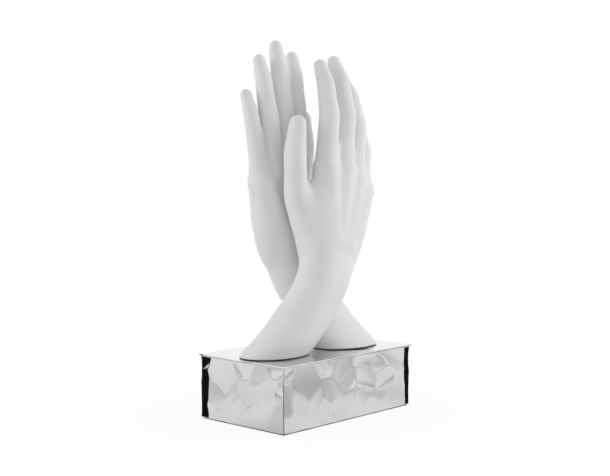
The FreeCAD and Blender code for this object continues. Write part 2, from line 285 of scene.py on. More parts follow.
def smooth_min(a, b, k):
    """The smaller of a and b. Where they differ by less than k, a parabola rounds the corner, and dips
    below both by up to a quarter of k."""
    h = np.clip(0.5 + 0.5 * (b - a) / k, 0, 1)
    return b + (a - b) * h - k * h * (1 - h)


def bump(x, width):
    """A bell, 1 at zero: e to the power of minus the square of x over the width."""
    return np.exp(-(x / width) ** 2)


def step_up(x, low, high):
    """0 below low and 1 above high, and three squares less two cubes of the share between."""
    t = np.clip((x - low) / (high - low), 0, 1)
    return t * t * (3 - 2 * t)


def eased(s, stations, values, spacing, window):
    """Values at stations, laid out along s in straight lines that go on past both ends, and then evened
    out as a mean under a raised cosine."""
    half = int(window / spacing / 2)
    weights = 1 + np.cos(np.linspace(-math.pi, math.pi, 2 * half + 3))[1:-1]
    weights /= weights.sum()
    before = s[0] - spacing * np.arange(half, 0, -1)
    after = s[-1] + spacing * np.arange(1, half + 1)
    long_s = np.concatenate([before, s, after])
    values = np.asarray(values, float)
    out = []
    for column in values.reshape(len(stations), -1).T:
        line = np.interp(long_s, stations, column)
        low_slope = (column[1] - column[0]) / (stations[1] - stations[0])
        high_slope = (column[-1] - column[-2]) / (stations[-1] - stations[-2])
        line += np.minimum(long_s - stations[0], 0) * low_slope
        line += np.maximum(long_s - stations[-1], 0) * high_slope
        out.append(np.convolve(line, weights, "valid"))
    return np.array(out).T.reshape((len(s),) + values.shape[1:])


def lengths_to(places):
    """How far along the line through the places each one lies: the sum of the steps before it."""
    return np.concatenate([[0], np.cumsum(np.linalg.norm(np.diff(places, axis=0), axis=1))])


def tangents_of(path):
    """Unit tangents: the difference between each point's neighbours over its own length."""
    tangents = np.gradient(path, axis=0)
    return tangents / np.linalg.norm(tangents, axis=1)[:, None]


def square_to(tangents, vectors):
    """Vectors less their part along the tangents, at unit length."""
    vectors = vectors - tangents * (tangents * vectors).sum(1)[:, None]
    return vectors / np.linalg.norm(vectors, axis=1)[:, None]


def part_along(axis, x, y, z):
    """The part of an offset that lies along an axis: the sum of their products."""
    return x * axis[..., 0] + y * axis[..., 1] + z * axis[..., 2]


class Field:
    """Signed distance to a hand on a grid of points, less than zero inside it."""

    def __init__(self, low, high):
        self.low = np.array(low, float)
        counts = np.ceil((np.array(high) - self.low) / STEP).astype(int) + 1
        self.value = np.full(counts, FAR, np.float32)

    def window(self, points, reach):
        """The box of grid points within reach of the points: its slices, and x, y and z in it."""
        points = np.atleast_2d(points)
        low = np.floor((points.min(0) - reach - self.low) / STEP).astype(int)
        high = np.ceil((points.max(0) + reach - self.low) / STEP).astype(int) + 1
        low = np.clip(low, 0, self.value.shape)
        high = np.clip(high, 0, self.value.shape)
        cut = tuple(slice(a, b) for a, b in zip(low, high))
        axes = [(self.low[i] + STEP * np.arange(low[i], high[i])).astype(np.float32) for i in range(3)]
        x, y, z = np.meshgrid(*axes, indexing="ij")
        return cut, x, y, z

    def join(self, shape, points, reach, softness):
        """Adds a shape: the smooth minimum of both distances."""
        cut, x, y, z = self.window(points, reach)
        self.value[cut] = smooth_min(self.value[cut], shape(x, y, z), softness)

    def carve(self, shape, points, reach, softness):
        """Takes a shape away: the smooth maximum of this distance and minus the shape's."""
        cut, x, y, z = self.window(points, reach)
        self.value[cut] = -smooth_min(-self.value[cut], shape(x, y, z), softness)

    def join_rod(self, low, high, radii, reach, softness):
        """Adds a rod between two places."""
        self.join(rod(low, high, *radii), [low, high], reach, softness)


def rod(a, b, ra, rb):
    """A tapered rod with round ends: the distance to the line from a to b, less the radius there."""
    d = b - a
    square = d @ d

    def shape(x, y, z):
        px, py, pz = x - a[0], y - a[1], z - a[2]
        t = np.clip((px * d[0] + py * d[1] + pz * d[2]) / square, 0, 1)
        px, py, pz = px - t * d[0], py - t * d[1], pz - t * d[2]
        return np.sqrt(px * px + py * py + pz * pz) - (ra + t * (rb - ra))
    return shape


def ball(middle, axes, halves):
    """A stretched ball: the distance from its middle in half sizes, less one, over that measure's slope."""
    def shape(x, y, z):
        p = np.stack([x - middle[0], y - middle[1], z - middle[2]], -1) @ axes.astype(np.float32)
        q = p / np.asarray(halves, np.float32)
        r = np.sqrt((q * q).sum(-1)) + TINY
        slope = np.sqrt(((q / np.asarray(halves, np.float32)) ** 2).sum(-1)) + TINY
        return (r - 1) * r / slope
    return shape


def along(path, tangents, x, y, z):
    """Each grid point's nearest point of the path, its offset from it square to the path, and how far
    ahead of it along the path it lies."""
    best = np.full(x.shape, np.inf, np.float32)
    index = np.zeros(x.shape, np.int32)
    for k, c in enumerate(path.astype(np.float32)):
        d = (x - c[0]) ** 2 + (y - c[1]) ** 2 + (z - c[2]) ** 2
        closer = d < best
        best[closer] = d[closer]
        index[closer] = k
    c, t = path[index], tangents[index]
    px, py, pz = x - c[..., 0], y - c[..., 1], z - c[..., 2]
    ahead = part_along(t, px, py, pz)
    return index, px - ahead * t[..., 0], py - ahead * t[..., 1], pz - ahead * t[..., 2], ahead


def arm_ellipse(bones, rise):
    """Middle and half sizes of the arm's level ellipse, a share of the way from foot to wrist. The middle
    goes straight, and out by half a sine wave. The length shrinks by a power of the rise and the width
    evenly."""
    bow = ARM_BOW * WRIST_IN_PLAN[1] * np.sin(math.pi * rise)
    x = bones.foot[0] + (bones.wrist[0] - bones.foot[0]) * rise
    y = bones.foot[1] + (bones.wrist[1] - bones.foot[1]) * rise - bones.side * bow
    taper = np.maximum(rise, 0) ** ARM_TAPER_POWER
    length = FOREARM_IN_PLAN[0] + (WRIST_IN_PLAN[0] - FOREARM_IN_PLAN[0]) * taper
    width = FOREARM_IN_PLAN[1] + (WRIST_IN_PLAN[1] - FOREARM_IN_PLAN[1]) * rise
    return x, y, length / 2, width / 2


def leaning_arm(bones, x, y, z):
    """Signed distance to the arm's level ellipses, which shape the foot: the distance from their middle
    in half sizes, less one, over that measure's slope. The half sizes flare out down to the foot."""
    height = bones.wrist[2] - bones.foot[2]
    rise = np.clip((z - bones.foot[2]) / height, LOWEST_RISE, 1)
    middle_x, middle_y, half_length, half_width = arm_ellipse(bones, rise)
    lean_x = (bones.wrist[0] - bones.foot[0]) / height
    bow = ARM_BOW * WRIST_IN_PLAN[1] * math.pi * np.cos(math.pi * rise)
    lean_y = (bones.wrist[1] - bones.foot[1] - bones.side * bow) / height
    flare = FOOT_FLARE * (1 - step_up(z - FOOT_LEVEL, 0, FOOT_BLEND[1]))
    half_length, half_width = half_length + flare, half_width + flare
    u, v = (x - middle_x) / half_length, (y - middle_y) / half_width
    r = np.sqrt(u * u + v * v) + TINY
    across, deep = u / half_length, v / half_width
    slope = np.sqrt(across ** 2 + deep ** 2 + (across * lean_x + deep * lean_y) ** 2) / r + TINY
    return (r - 1) / slope


def trunk(bones):
    """Forearm, wrist and palm: one sweep of ellipses, a little squared, along an eased line from below
    the foot to the knuckles, where it ends in a cap. The distance is the offset in half sizes, less one,
    over that measure's slope. The leaning arm takes over down to the foot."""
    rows = []
    slant = unit(bones.wrist - bones.foot)[2]
    for rise in np.linspace(0, 1, ARM_ROWS)[:-1]:
        x, y, half_length, half_width = arm_ellipse(bones, rise)
        place = (x, y, bones.foot[2] + (bones.wrist[2] - bones.foot[2]) * rise)
        rows.append((place, (bones.side, 0, 0), (half_length * slant, half_width, half_width)))
    for z, x, wide, back, front in PALM_ROWS:
        halves = (wide * PALM_WIDTH, back * PALM_THICKNESS, front * PALM_THICKNESS)
        rows.append((bones.put((x, 0, z)), bones.axes[:, 0], halves))
    places, across, sizes = (np.array(column, float) for column in zip(*rows))
    stations = lengths_to(places)
    s = np.arange(TRUNK_START, stations[-1] + TRUNK_SPACING / 2, TRUNK_SPACING)
    path = eased(s, stations, places, TRUNK_SPACING, TRUNK_PATH_EASING)
    across = eased(s, stations, across, TRUNK_SPACING, TRUNK_SIZE_EASING)
    sizes = eased(np.maximum(s, 0), stations, sizes, TRUNK_SPACING, TRUNK_SIZE_EASING)
    tangents = tangents_of(path)
    across = square_to(tangents, across)
    depth = np.cross(tangents, across) * bones.side

    def shape(x, y, z):
        index, px, py, pz, ahead = along(path, tangents, x, y, z)
        u = part_along(across[index], px, py, pz)
        v = part_along(depth[index], px, py, pz)
        half = sizes[index]
        b = np.where(v > 0, half[..., 2], half[..., 1])
        over = np.where(index == len(path) - 1, np.maximum(ahead, 0), 0)
        qu, qv, qo = np.abs(u) / half[..., 0], np.abs(v) / b, over / PALM_CAP
        power = PALM_SQUARENESS
        r = (qu ** power + qv ** power + qo ** power) ** (1 / power) + TINY
        slope = np.sqrt((qu / half[..., 0]) ** 2 + (qv / b) ** 2 + (qo / PALM_CAP) ** 2) / r + TINY
        share = step_up(z - FOOT_LEVEL, *FOOT_BLEND)
        return share * (r - 1) / slope + (1 - share) * leaning_arm(bones, x, y, z)
    return shape, path


def nail(here, u, total, tip):
    """How deep the nail lies under the back of a fingertip: a groove, as a bell round the outline, and
    the bed, as a step up inside it. The outline is a rectangle with round corners."""
    half_length, half_width = NAIL_SIZE[0] * tip, NAIL_SIZE[1] * tip
    corner = NAIL_CORNER * half_width
    qa = np.abs(here - (total - NAIL_SETBACK * tip)) - (half_length - corner)
    qb = np.abs(u) - (half_width - corner)
    edge = np.hypot(np.maximum(qa, 0), np.maximum(qb, 0)) + np.minimum(np.maximum(qa, qb), 0) - corner
    groove = NAIL_GROOVE[0] * bump(edge, NAIL_GROOVE[1])
    return groove + NAIL_BED[0] * tip * step_up(-edge, -NAIL_BED[1], NAIL_BED[1])


def digit(joints, radii, palmar):
    """One finger or the thumb: circles along an eased line through its joints, flattened to the tip. The
    radius has waists between joints, as squared sines, bells for the pad, the palm's folds and the
    swellings and lines on the joints' backs, and the nail let in."""
    tip = radii[3]
    end = joints[3] - unit(joints[3] - joints[2]) * tip * TIP_SETBACK
    places = np.array([joints[0], joints[1], joints[2], end])
    stations = lengths_to(places)
    total = stations[-1]
    s = np.append(np.arange(0, total, DIGIT_SPACING), total)
    path = eased(s, stations, places, DIGIT_SPACING, DIGIT_PATH_EASING)
    radius_line = eased(s, stations, radii, DIGIT_SPACING, DIGIT_SIZE_EASING)
    tangents = tangents_of(path)
    front = square_to(tangents, palmar)
    side = np.cross(tangents, front)
    joint_one, joint_two = stations[1], stations[2]

    def shape(x, y, z):
        index, px, py, pz, ahead = along(path, tangents, x, y, z)
        at_end = index == len(path) - 1
        over = np.where(at_end, np.maximum(ahead, 0), 0)
        below = np.where(index == 0, np.minimum(ahead, 0), 0)
        here = s[index] + np.where(at_end, ahead, np.clip(ahead, -DIGIT_SPACING, DIGIT_SPACING))
        v = part_along(front[index], px, py, pz)
        u = part_along(side[index], px, py, pz)
        start, stop = joint_two - TIP_FLAT_SPAN[0], total + TIP_FLAT_SPAN[1]
        flat = DIGIT_FLATNESS - TIP_FLATTENING * step_up(here, start, stop)
        rho = np.sqrt((v / flat) ** 2 + u * u + over ** 2 + below ** 2) + TINY
        share = (v / flat) / rho
        to_palm, to_back = step_up(share, *PALM_SIDE), step_up(-share, *BACK_SIDE)
        one = np.clip(here / joint_one, 0, 1)
        two = np.clip((here - joint_one) / (joint_two - joint_one), 0, 1)
        waist = np.sin(math.pi * one) ** 2 + SECOND_WAIST * np.sin(math.pi * two) ** 2
        r = radius_line[index] * (1 - WAIST_DEPTH * waist * (1 - WAIST_LOST_TO_PALM * to_palm))
        r = r + to_palm * TIP_PAD * tip * bump(here - total + TIP_PAD_SETBACK, TIP_PAD_WIDTH)
        for joint, beyond, depth in PALM_FOLDS:
            r = r - to_palm * depth * bump(here - (stations[joint] + beyond), PALM_FOLD_WIDTH)
        for joint, height, width in BACK_SWELLINGS:
            r = r + to_back * height * bump(here - stations[joint], width)
            for line in BACK_LINES:
                r = r - to_back * BACK_LINE_DEPTH * bump(here - stations[joint] - line, BACK_LINE_WIDTH)
        r = r - nail(here, u, total, tip) * step_up(-share, *NAIL_SIDE)
        return (rho - r) * DIGIT_FLATNESS
    return shape, path


def palm_forms(solid, bones):
    """Rods for the palm's bones, tendons and muscles and balls for its pads, blended in one by one, and
    the palm's hollow, blended out."""
    for name, (kx, ky, kz) in KNUCKLES.items():
        thickness = RADII[name][0] * FINGER_THICKNESS
        bone_radii = [thickness * share for share in METACARPAL_RADII]
        for (foot, head, reach, softness), radii in ((METACARPAL, bone_radii), (TENDON, TENDON_RADII)):
            low = bones.put((METACARPAL_FEET[name] * foot[0], foot[1], foot[2]))
            high = bones.put((kx * head[0], ky + head[1], kz + head[2]))
            solid.join_rod(low, high, radii, reach, softness)
    place, halves, reach, softness = PALM_HEEL
    solid.join(ball(bones.put(place), bones.axes, halves), bones.put(place), reach, softness)
    for low, high, radii, reach, softness in (OUTER_PALM, WRIST_MUSCLE):
        solid.join_rod(bones.put(low), bones.put(high), radii, reach, softness)
    place, halves, reach, softness = THUMB_MOUND
    turned = turn_matrix(bones.axes[:, 1], -bones.side * THUMB_MOUND_TURN) @ bones.axes
    solid.join(ball(bones.put(place), turned, halves), bones.put(place), reach, softness)
    offset, halves, reach, softness = KNUCKLE_PAD
    knuckles = np.array(list(KNUCKLES.values()))
    for middle in (knuckles[:-1] + knuckles[1:]) / 2:
        pad = bones.put(middle + offset)
        solid.join(ball(pad, bones.axes, halves), pad, reach, softness)
    place, halves, reach, softness = PALM_HOLLOW
    solid.carve(ball(bones.put(place), bones.axes, halves), bones.put(place), reach, softness)


def webs(solid, bones, fingers, thumb):
    """Rods between the first bones of neighbouring fingers, and from the thumb's to the palm."""
    first_bones = [joints[:2] for joints, _ in fingers]
    share_one, share_two, radii, reach, softness = FINGER_WEB
    for (root_one, tip_one), (root_two, tip_two) in zip(first_bones, first_bones[1:]):
        low = root_one + (tip_one - root_one) * share_one
        high = root_two + (tip_two - root_two) * share_two
        solid.join_rod(low, high, radii, reach, softness)
    for share, place, radii, reach, softness in THUMB_WEBS:
        low = thumb[0] + (thumb[1] - thumb[0]) * share
        solid.join_rod(low, bones.put(place), radii, reach, softness)


def hand_field(bones):
    """One hand: the smooth minimum of the trunk with its forms and webs, the fingers and the thumb. The
    hollow is the trunk less the wall, up to a level past the wrist, and a plane cuts the foot flat."""
    fingers = [bones.finger(name) for name in KNUCKLES]
    thumb, thumb_radii = bones.thumb()
    reach = np.array([bones.foot, bones.wrist] + sum([joints for joints, _ in fingers], []) + thumb)
    solid = Field(reach.min(0) - FIELD_MARGIN, reach.max(0) + FIELD_MARGIN)
    solid.low[2] = FOOT_LEVEL - STEPS_BELOW_FOOT * STEP
    body, trunk_path = trunk(bones)
    solid.join(body, trunk_path, TRUNK_REACH, TRUNK_BLEND)
    palm_forms(solid, bones)
    webs(solid, bones, fingers, thumb)

    digits = None
    for (joints, radii), knuckle in zip(fingers, KNUCKLES.values()):
        tucked = joints[0] - bones.axes[:, 0] * KNUCKLE_TUCK * knuckle[0]
        shape, path = digit([tucked] + joints[1:], radii, bones.axes[:, 1])
        part = np.full(solid.value.shape, FAR, np.float32)
        cut, x, y, z = solid.window(path, radii[0] + FINGER_REACH)
        part[cut] = shape(x, y, z)
        digits = part if digits is None else smooth_min(digits, part, FINGER_SIDE_BLEND)
    solid.value = smooth_min(solid.value, digits, FINGER_ROOT_BLEND)
    shape, path = digit(thumb, thumb_radii, bones.axes @ unit(THUMB_FACING))
    solid.join(shape, path, THUMB_REACH, THUMB_BLEND)

    cut, x, y, z = solid.window(trunk_path, HOLLOW_REACH)
    over = part_along(bones.axes[:, 2], x - bones.wrist[0], y - bones.wrist[1], z - bones.wrist[2])
    over = over - HOLLOW_TOP * HAND_LENGTH
    hollow = -smooth_min(-(body(x, y, z) + CERAMIC_WALL), -over, HOLLOW_BLEND)
    solid.value[cut] = np.maximum(solid.value[cut], -hollow)
    cut, x, y, z = solid.window([solid.low, solid.low + FOOT_SLAB], 0)
    solid.value[cut] = np.maximum(solid.value[cut], FOOT_LEVEL - z)
    return solid


def skin(solid):
    """Closed skin of a field. Each cell that the zero level crosses gets one point, the mean of where it
    crosses the cell's edges. Each grid edge that crosses it gets one face, through the points of the four
    cells round the edge, facing outwards."""
    value = solid.value
    size = np.array(value.shape)
    inside = value < 0
    corners = [(i, j, k) for i in (0, 1) for j in (0, 1) for k in (0, 1)]
    count = np.zeros(size - 1, int)
    for i, j, k in corners:
        count += inside[i:size[0] - 1 + i, j:size[1] - 1 + j, k:size[2] - 1 + k]
    cells = np.argwhere((count > 0) & (count < len(corners)))
    number = -np.ones(size - 1, int)
    number[tuple(cells.T)] = np.arange(len(cells))
    total = np.zeros((len(cells), 3))
    hits = np.zeros(len(cells))
    for corner in corners:
        for axis in range(3):
            if corner[axis]:
                continue
            far = list(corner)
            far[axis] = 1
            near_value = value[tuple((cells + corner).T)]
            far_value = value[tuple((cells + far).T)]
            crossed = (near_value < 0) != (far_value < 0)
            share = np.where(crossed, -near_value / np.where(crossed, far_value - near_value, 1), 0)
            point = np.tile(np.array(corner, float), (len(cells), 1))
            point[:, axis] += share
            total[crossed] += point[crossed]
            hits[crossed] += 1
    points = (cells + total / hits[:, None]) * STEP + solid.low
    faces = []
    for axis in range(3):
        one, two = [i for i in range(3) if i != axis]
        before, after = [slice(None)] * 3, [slice(None)] * 3
        before[axis], after[axis] = slice(0, -1), slice(1, None)
        first, second = inside[tuple(before)], inside[tuple(after)]
        edges = np.argwhere(first != second)
        ring = []
        for d_one, d_two in ((-1, -1), (0, -1), (0, 0), (-1, 0)):
            move = edges.copy()
            move[:, one] += d_one
            move[:, two] += d_two
            ring.append(number[tuple(move.T)])
        ring = np.stack(ring, 1)
        # about y the rings run the other way, as x is taken before z
        outward = first[tuple(edges.T)] if axis != 1 else ~first[tuple(edges.T)]
        ring[~outward] = ring[~outward][:, ::-1]
        faces.append(ring)
    return points, np.concatenate(faces)


def make_piece(name, points, faces, material, slot, *nodes):
    """A piece from points in millimetres and faces, in place of the named nodes."""
    mesh = bpy.data.meshes.new(name)
    mesh.from_pydata((points * MM).tolist(), [], faces)
    mesh.polygons.foreach_set("use_smooth", np.ones(len(mesh.polygons), bool))
    mesh.materials.append(material)
    mesh.update()
    piece = bpy.data.objects.new(name, mesh)
    bpy.context.scene.collection.objects.link(piece)
    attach(piece, BODY)
    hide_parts(*nodes)
    return piece


def hands():
    """The right hand in front and the left one behind."""
    for name, pose in (("right_hand", RIGHT_POSE), ("left_hand", LEFT_POSE)):
        points, faces = skin(hand_field(Skeleton(pose)))
        make_piece(name + "_ceramic", points, faces.tolist(), CERAMIC, "ceramic", name)


# Hammered side panels, in millimetres

PANEL_THICKNESS = 1.5
PANEL_STEP = 0.5
DEEPEST = 0.9
DENT_DEPTH = 0.5
DENT_PITCH = 21.0
DENT_BALL_RADIUS = 190.0
DENT_ROW_SHARE = 0.86
DENT_WANDER_SHARE = 0.22
DENT_TURN = 2.4
DENT_UNEVENNESS = 0.45
DENT_ROUNDNESS = 0.5
DENT_STRETCH = 0.35
DENT_SLANT = 0.5
DENT_WAVES = {"depth": 1.9, "roundness": 4.3, "stretch": 2.7, "slant": 3.1}
NO_DENT = -9.0
RIDGE_SOFTNESS = 0.22
END_ROLL = 11.0
END_ROLL_DEPTH = 0.6
EDGE_ROUND = 0.4
EDGE_ROUND_SHARE = 0.95
# Painted shade: dark lines along the ridges where dents meet, only in patches
RIDGE_SHADE_WIDTH = 0.06
RIDGE_SHADE_DARKNESS = 0.3
PATCH_WAVES = ((0.13, 0.21, 0), (0.05, -0.17, 1))
PATCH_EDGE = (0.4, 0.9)
# Painted shade: a dark line along the panel's four edges, fainter up its ends
EDGE_SHADE_WIDTH = 0.5
EDGE_SHADE_FADE = 0.8
EDGE_SHADE_FADE_SPAN = (0.6, 0.85)


def dent_places(length, bottom, top):
    """Rows of dents that wander round a circle by a growing angle, as a hammer's marks do."""
    row_height = DENT_PITCH * DENT_ROW_SHARE
    wander = DENT_WANDER_SHARE * DENT_PITCH
    rows = math.ceil((top - bottom) / row_height)
    columns = math.ceil(length / DENT_PITCH)
    for row in range(rows):
        for column in range(columns + row % 2):
            turn = DENT_TURN * (column + 1) * (row + 2)
            x = (column - (columns - 1 + row % 2) / 2) * DENT_PITCH + wander * math.sin(turn)
            z = (row - (rows - 1) / 2) * row_height + wander * math.cos(turn + row)
            yield x, (bottom + top) / 2 + z, turn


def hammered_face(x, z, length, bottom, top):
    """How far the face lies under the sheet's flat one, and how dark the painted shade on it is. Each dent
    is its own depth less the square of the distance over twice its own radius, longer one way than the
    other, and the deepest dent holds at each point. The upright ends roll back by a square law, and the
    edges are round. Painted shade lies along the ridges where the two deepest dents are alike and the
    product of two sine waves is high, and along the four edges, fainter up the ends."""
    first = np.full_like(x, NO_DENT)
    second = first.copy()
    smooth = first.copy()
    for cx, cz, turn in dent_places(length, bottom, top):
        radius = DENT_BALL_RADIUS * (1 + DENT_ROUNDNESS * math.sin(DENT_WAVES["roundness"] * turn + 1))
        stretch = 1 + DENT_STRETCH * math.sin(DENT_WAVES["stretch"] * turn)
        slant = DENT_SLANT * math.sin(DENT_WAVES["slant"] * turn)
        u, v = x - cx + slant * (z - cz), z - cz
        bowl = DENT_DEPTH * (1 + DENT_UNEVENNESS * math.cos(DENT_WAVES["depth"] * turn))
        bowl = bowl - (u * u * stretch + v * v / stretch) / (2 * radius)
        smooth = -smooth_min(-smooth, -bowl, RIDGE_SOFTNESS)
        second = np.maximum(second, np.minimum(first, bowl))
        first = np.maximum(first, bowl)
    upright = length / 2 - np.abs(x)
    level = np.minimum(top - z, z - bottom)
    inside = np.clip(1 - np.minimum(upright, level) / EDGE_ROUND, 0, 1)
    edge = EDGE_ROUND * (1 - np.sqrt(1 - (inside * EDGE_ROUND_SHARE) ** 2))
    roll = END_ROLL_DEPTH * np.clip(1 - upright / END_ROLL, 0, 1) ** 2
    sunk = np.maximum(smooth, 0) + roll + edge
    one, two = (np.sin(x * across + z * up + phase) for across, up, phase in PATCH_WAVES)
    # Painted shade along the ridges between dents, in patches
    painted_shade = bump(first - second, RIDGE_SHADE_WIDTH) * RIDGE_SHADE_DARKNESS * step_up(one * two, *PATCH_EDGE)
    # Painted shade along the four edges, fading up the ends
    fade_from, fade_to = (bottom + share * (top - bottom) for share in EDGE_SHADE_FADE_SPAN)
    open_share = 1 - EDGE_SHADE_FADE * step_up(z, fade_from, fade_to)
    edge_shade = np.maximum(1 - step_up(level, 0, EDGE_SHADE_WIDTH), (1 - step_up(upright, 0, EDGE_SHADE_WIDTH)) * open_share)
    return np.minimum(sunk, PANEL_THICKNESS * DEEPEST), np.maximum(painted_shade, edge_shade)


def hammered_panel(name, length, distance, bottom, top, angle):
    """A mitred sheet: a grid along the panel and up it, pushed back by the hammered face and drawn in so
    that its ends stay on the mitres, then the mitred rim and the flat inner face, all turned by angle to
    its side of the plinth."""
    columns = int(length / PANEL_STEP) + 1
    rows = int((top - bottom) / PANEL_STEP) + 1
    along_line = np.linspace(-length / 2, length / 2, columns)
    x, z = np.meshgrid(along_line, np.linspace(bottom, top, rows), indexing="ij")
    sunk, painted_shade = hammered_face(x, z, length, bottom, top)
    x = x * (1 - np.where(x < 0, sunk[0], sunk[-1]) / (length / 2))
    outer = np.stack([x, sunk - distance, z], -1).reshape(-1, 3)
    index = np.arange(columns * rows).reshape(columns, rows)
    quads = np.stack([index[:-1, :-1], index[1:, :-1], index[1:, 1:], index[:-1, 1:]], -1).reshape(-1, 4)
    rim = np.concatenate([index[:, 0], index[-1, 1:], index[-2::-1, -1], index[0, -2:0:-1]])
    inner = outer[rim].copy()
    inner[:, 0] *= (length / 2 - PANEL_THICKNESS) / np.abs(inner[:, 0]).max()
    inner[:, 1] = PANEL_THICKNESS - distance
    inner_index = np.arange(len(rim)) + len(outer)
    ahead = np.roll(np.arange(len(rim)), -1)
    sides = np.stack([rim[ahead], rim, inner_index, inner_index[ahead]], -1)
    points = np.concatenate([outer, inner]) @ turn_matrix((0, 0, 1), angle).T
    faces = quads.tolist() + sides.tolist() + [inner_index[::-1].tolist()]
    sheet = make_piece(name + "_sheet", points, faces, HAMMERED, "hammered_metal", name)
    # The painted shade goes onto the sheet as a point attribute, full on the rim and the inner face
    shade = sheet.data.attributes.new("painted_shade", "FLOAT", "POINT")
    shade.data.foreach_set("value", np.append(painted_shade.ravel(), np.ones(len(rim))).astype(np.float32))


def panels():
    """The four sides in turn, each a quarter turn on, up to the underside of the top plate."""
    low, high = np.array(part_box("top_plate")) / MM
    length, width = (high - low)[:2]
    bottom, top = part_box("front_panel")[0][2] / MM, low[2]
    for number, name in enumerate(("front_panel", "right_panel", "back_panel", "left_panel")):
        hammered_panel(name, length, width / 2, bottom, top, 90 * number)
        length, width = width, length


# Shader groups

MIX_SOCKETS = {"RGBA": (6, 7, 2), "FLOAT": (2, 3, 0)}    # inputs one and two, and the output
GRAIN_DETAIL = 4.0
FINE_SHARE = 9.0
FINE_DETAIL = 2.0
HAZE_SCALE = 55.0
HAZE_DETAIL = 5.0
WAVE_DETAIL = 1.0
# Darkest grey of the painted shade on the hammered sheet
PAINTED_SHADE_TONE = 0.10


def tone(level, warmth=0.0):
    """A grey of a level, with warmth added to its red and taken from its blue."""
    return (level + warmth, level, level - warmth, 1)


def plug(tree, socket, source):
    """Links a socket to another one, or gives it a plain value."""
    if isinstance(source, bpy.types.NodeSocket):
        tree.links.new(source, socket)
    else:
        socket.default_value = source


def new_group(name, inputs, outputs):
    """An empty group with typed sockets, its input and output nodes."""
    group = bpy.data.node_groups.new(name, "ShaderNodeTree")
    for label, kind, value in inputs:
        socket = group.interface.new_socket(name=label, in_out="INPUT", socket_type="NodeSocket" + kind)
        socket.default_value = value
    for label, kind in outputs:
        group.interface.new_socket(name=label, in_out="OUTPUT", socket_type="NodeSocket" + kind)
    start = group.nodes.new("NodeGroupInput")
    end = group.nodes.new("NodeGroupOutput")
    return group, start.outputs, end.inputs


def add_node(tree, kind, settings=None, **sources):
    """A node with its settings; keyword arguments name its inputs, with a socket or a value for each."""
    node = tree.nodes.new("ShaderNode" + kind)
    for name, value in (settings or {}).items():
        setattr(node, name, value)
    for label, source in sources.items():
        plug(tree, node.inputs[label.replace("_", " ")], source)
    return node


def worked_out(tree, kind, operation, *sources):
    """The number that a Math or VectorMath node works out from its sources, in order."""
    node = add_node(tree, kind, {"operation": operation})
    for socket, source in zip(node.inputs, sources):
        plug(tree, socket, source)
    return node.outputs["Value"]


def noise(tree, place, scale, detail):
    """The grey value of a noise over a place."""
    return add_node(tree, "TexNoise", Vector=place, Scale=scale, Detail=detail).outputs["Fac"]


def between(tree, value, low, high, from_low=0.3, from_high=0.7):
    """value taken from one range to another by a smooth step, level outside it."""
    node = add_node(tree, "MapRange", {"interpolation_type": "SMOOTHSTEP"}, Value=value,
                    From_Min=from_low, From_Max=from_high, To_Min=low, To_Max=high)
    return node.outputs["Result"]


def blend(tree, share, one, two, kind="RGBA"):
    """one where share is 0, two where it is 1, and a straight mixture between, of colours or numbers."""
    node = add_node(tree, "Mix", {"data_type": kind}, Factor=share)
    first, second, result = MIX_SOCKETS[kind]
    plug(tree, node.inputs[first], one)
    plug(tree, node.inputs[second], two)
    return node.outputs[result]


def grain_group():
    """Cloudy colour, roughness and fine relief of a plain finish: two octaves of noise over the piece."""
    group, given, put_out = new_group(
        "finish_grain",
        [("Scale", "Float", 100.0), ("Stretch", "Vector", (1, 1, 1)), ("Dark", "Color", tone(0.5)),
         ("Light", "Color", tone(0.6)), ("Smooth", "Float", 0.4), ("Rough", "Float", 0.6)],
        [("Color", "Color"), ("Roughness", "Float"), ("Height", "Float")])
    coords = add_node(group, "TexCoord").outputs["Object"]
    placed = add_node(group, "Mapping", Vector=coords, Scale=given["Stretch"]).outputs["Vector"]
    cloud = noise(group, placed, given["Scale"], GRAIN_DETAIL)
    fine_scale = worked_out(group, "Math", "MULTIPLY", given["Scale"], FINE_SHARE)
    fine = noise(group, placed, fine_scale, FINE_DETAIL)
    colour = blend(group, between(group, cloud, 0, 1), given["Dark"], given["Light"])
    group.links.new(colour, put_out["Color"])
    group.links.new(between(group, fine, given["Smooth"], given["Rough"]), put_out["Roughness"])
    group.links.new(fine, put_out["Height"])
    return group


def polish_group():
    """Polished sheet: a faint haze in the colour and roughness, the slow waves of thin metal, and painted
    shade where the piece carries it."""
    group, given, put_out = new_group(
        "sheet_polish",
        [("Dull", "Color", tone(0.6)), ("Bright", "Color", tone(0.7)),
         ("Smooth", "Float", 0.03), ("Rough", "Float", 0.06), ("Wave Scale", "Float", 20.0)],
        [("Color", "Color"), ("Roughness", "Float"), ("Height", "Float")])
    coords = add_node(group, "TexCoord").outputs["Object"]
    painted_shade = add_node(group, "Attribute", {"attribute_name": "painted_shade"}).outputs["Fac"]
    haze = noise(group, coords, HAZE_SCALE, HAZE_DETAIL)
    metal = blend(group, between(group, haze, 0, 1), given["Dull"], given["Bright"])
    # Painted shade: the metal is mixed towards a dark grey where the piece carries it
    group.links.new(blend(group, painted_shade, metal, tone(PAINTED_SHADE_TONE)), put_out["Color"])
    group.links.new(between(group, haze, given["Smooth"], given["Rough"]), put_out["Roughness"])
    group.links.new(noise(group, coords, given["Wave Scale"], WAVE_DETAIL), put_out["Height"])
    return group


GRAIN = grain_group()
POLISH = polish_group()

# Finishes

GRAIN_RELIEF_HEIGHT = 0.0002
WAVE_RELIEF_HEIGHT = 0.001


def new_material(name):
    """A material with nodes, its tree and its shader."""
    material = bpy.data.materials.new(name)
    material.use_nodes = True
    return material, material.node_tree, material.node_tree.nodes["Principled BSDF"]


